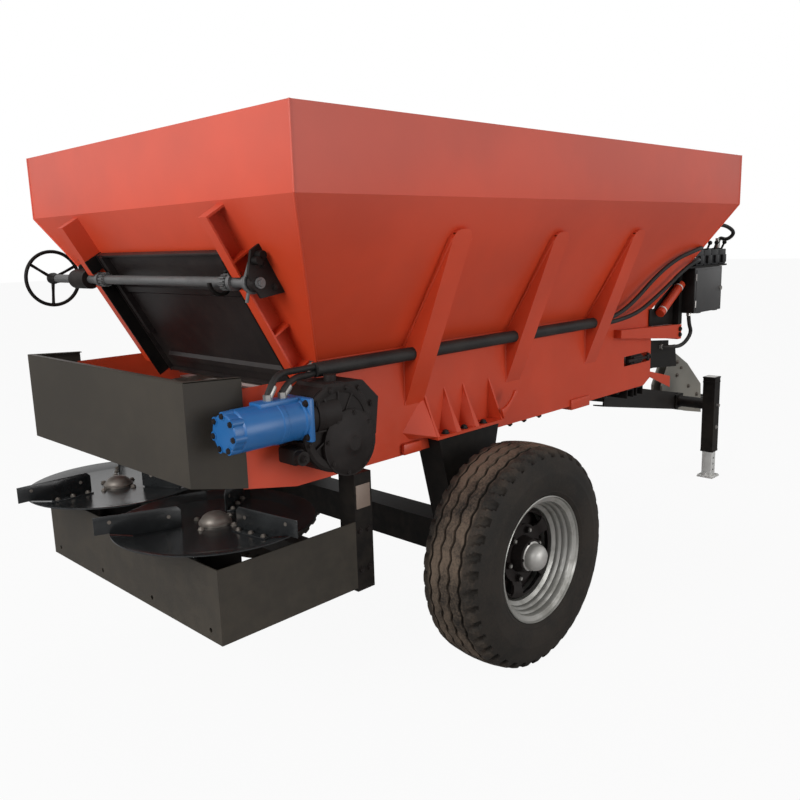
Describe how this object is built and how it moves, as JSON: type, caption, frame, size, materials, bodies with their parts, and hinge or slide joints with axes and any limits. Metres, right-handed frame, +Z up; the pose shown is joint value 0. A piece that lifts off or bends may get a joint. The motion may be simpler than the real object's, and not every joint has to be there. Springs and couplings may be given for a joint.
{
  "type": "manure spreader",
  "caption": "Towed spreader with a tapering open hopper, chain-and-slat floor, sliding rear gate, vaned spinner discs, single axle, drawbar and swing-up parking jack.",
  "frame": {"origin": "on the ground, below the middle of the overall length, on the machine's middle plane", "axes": "+X forward, towards the drawbar's hitch eye; +Y to the machine's left; +Z up"},
  "size_m": [4.228, 1.702, 1.737],
  "materials": {
    "body_paint": "semi-gloss orange-red paint, faded and dusty",
    "frame_black": "satin black paint",
    "guard_paint": "dull brown-grey paint over steel sheet",
    "gate_paint": "satin black paint, rubbed where it slides",
    "bright_steel": "bare machined steel",
    "shaft_steel": "grey steel bar, dulled",
    "chain_steel": "oiled bare steel",
    "disc_steel": "gloss black paint, smooth as a mirror at a low angle",
    "cast_black": "black painted casting",
    "head_grey": "light grey paint",
    "motor_blue": "gloss blue paint",
    "rim_silver": "silver paint",
    "hub_paint": "dark grey paint",
    "tyre_rubber": "rubber with a tread, dusty",
    "hose_rubber": "black rubber",
    "box_grey": "grey powder coat",
    "valve_cast": "painted casting"
  },
  "bodies": {
    "frame": {"axle_beam": "frame_black", "axle_brackets": "body_paint", "chassis_cross_members": "body_paint", "chassis_side_left": "body_paint", "chassis_side_right": "body_paint", "control_box": "box_grey", "control_valve": "valve_cast", "conveyor_chains": "chain_steel", "conveyor_shafts": "bright_steel", "conveyor_slats": "chain_steel", "drawbar_beams": "frame_black", "drawbar_head": "head_grey", "front_frame": "body_paint", "front_plates": "frame_black", "gate_guides": "frame_black", "gearbox": "cast_black", "hitch_eye": "cast_black", "hopper_front_wall": "body_paint", "hopper_rear_wall": "body_paint", "hopper_side_left": "body_paint", "hopper_side_right": "body_paint", "hose_conduit": "hose_rubber", "hydraulic_hoses": "hose_rubber", "hydraulic_motor": "motor_blue", "jack_arm": "frame_black", "rear_hood": "guard_paint", "rear_posts": "body_paint", "shaft_bearings": "cast_black", "side_ribs": "body_paint", "spinner_frame": "frame_black", "spinner_gearboxes": "cast_black", "spinner_guard": "guard_paint", "trough_floor": "bright_steel", "valve_stand": "frame_black"},
    "wheel_left": {"tyre_left": "tyre_rubber", "rim_left": "rim_silver", "hub_left": "hub_paint"},
    "wheel_right": {"tyre_right": "tyre_rubber", "rim_right": "rim_silver", "hub_right": "hub_paint"},
    "spinner_left": {"spinner_disc_left": "disc_steel"},
    "spinner_right": {"spinner_disc_right": "disc_steel"},
    "gate": {"discharge_gate": "gate_paint"},
    "handwheel_shaft": {"gate_cross_shaft": "shaft_steel", "handwheel": "frame_black"},
    "jack": {"jack_tube": "frame_black"},
    "jack_leg": {"jack_leg": "bright_steel"}
  },
  "joints": [
    {"name": "wheel_left", "type": "hinge", "parent": "frame", "child": "wheel_left", "pos_m": [-0.902, 0.731, 0.373], "axis": [0, 1, 0], "continuous": true},
    {"name": "wheel_right", "type": "hinge", "parent": "frame", "child": "wheel_right", "pos_m": [-0.902, -0.731, 0.373], "axis": [0, 1, 0], "continuous": true},
    {"name": "spinner_right", "type": "hinge", "parent": "frame", "child": "spinner_right", "pos_m": [-1.782, -0.298, 0.619], "axis": [0, 0, 1], "continuous": true},
    {"name": "spinner_left", "type": "hinge", "parent": "frame", "child": "spinner_left", "pos_m": [-1.782, 0.298, 0.619], "axis": [0, 0, 1], "continuous": true},
    {"name": "gate_slide", "type": "slide", "parent": "frame", "child": "gate", "axis": [-0.5023, 0, 0.8647], "range_m": [0, 0.2]},
    {"name": "handwheel_turn", "type": "hinge", "parent": "frame", "child": "handwheel_shaft", "pos_m": [-1.72463, 0, 1.3126], "axis": [0, -1, 0], "range_deg": [0, 476]},
    {"name": "jack_swing", "type": "hinge", "parent": "frame", "child": "jack", "pos_m": [1.538, -0.308, 0.43], "axis": [0, 1, 0], "range_deg": [0, 90]},
    {"name": "jack_leg_slide", "type": "slide", "parent": "jack", "child": "jack_leg", "axis": [0, 0, 1], "range_m": [0, 0.125]}
  ],
  "couplings": [
    {"joint": "handwheel_turn", "follows": "gate_slide", "rad_per_m": 41.408},
    {"joint": "spinner_left", "follows": "spinner_right", "ratio": -1}
  ]
}
